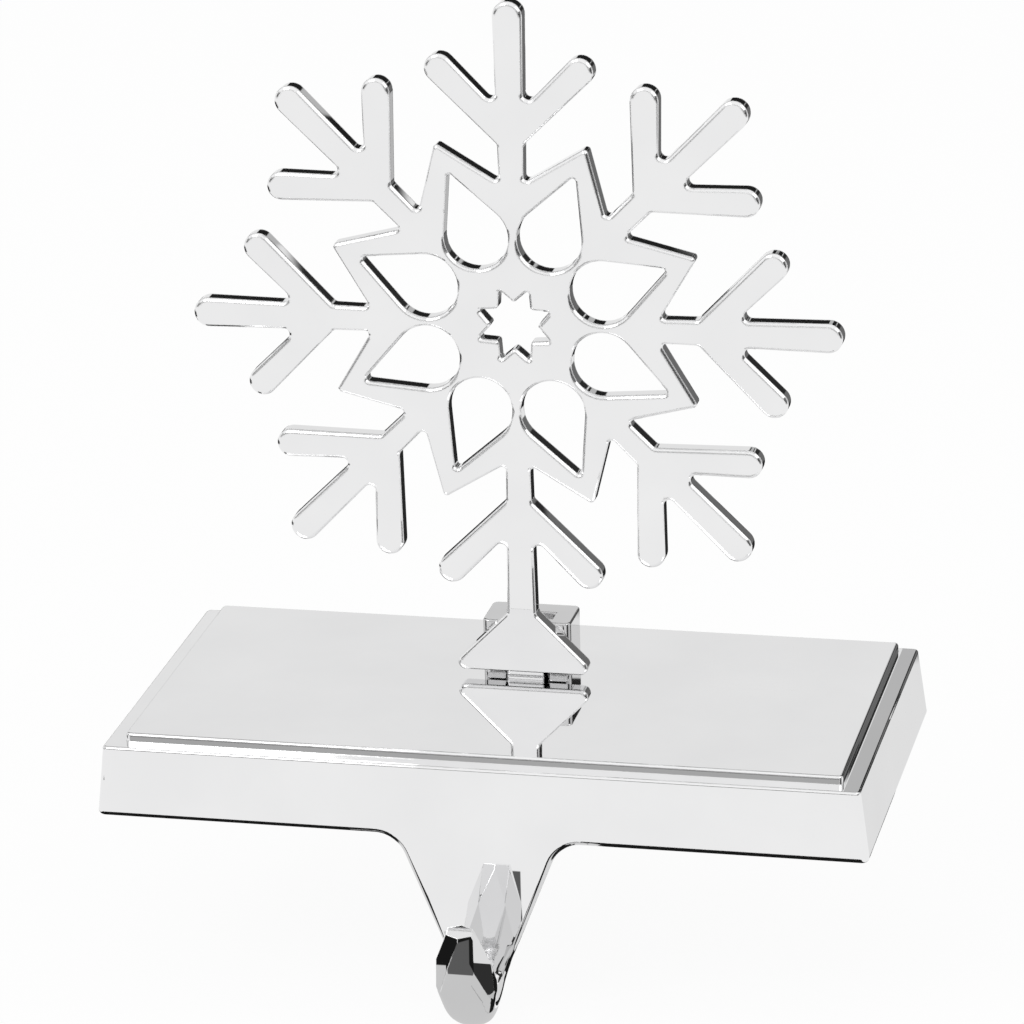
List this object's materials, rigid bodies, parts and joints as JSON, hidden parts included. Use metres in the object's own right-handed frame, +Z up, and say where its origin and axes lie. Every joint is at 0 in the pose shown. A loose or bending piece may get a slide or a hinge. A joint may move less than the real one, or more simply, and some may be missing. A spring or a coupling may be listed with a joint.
{
  "type": "mantel stocking holder",
  "caption": "Polished mantel stocking holder: hollow weighted base with a front tab ending in a faceted hook, and a removable snowflake ornament in a socket.",
  "frame": {"origin": "on the mantel's top surface, in the plane of the rubber feet's undersides, midway across the base and midway from front to back of its ledge", "axes": "+Z up, -Y towards the hook and the room, +X to the viewer's right when seen from the room"},
  "size_m": [0.1196, 0.0763, 0.1497],
  "materials": {
    "chrome": "polished",
    "screw_steel": "satin",
    "foot_rubber": "matt"
  },
  "bodies": {
    "root": {"base_with_hook": "chrome", "snowflake": "chrome", "socket_block": "chrome", "socket_screws": "screw_steel", "rubber_feet": "foot_rubber"}
  },
  "joints": []
}
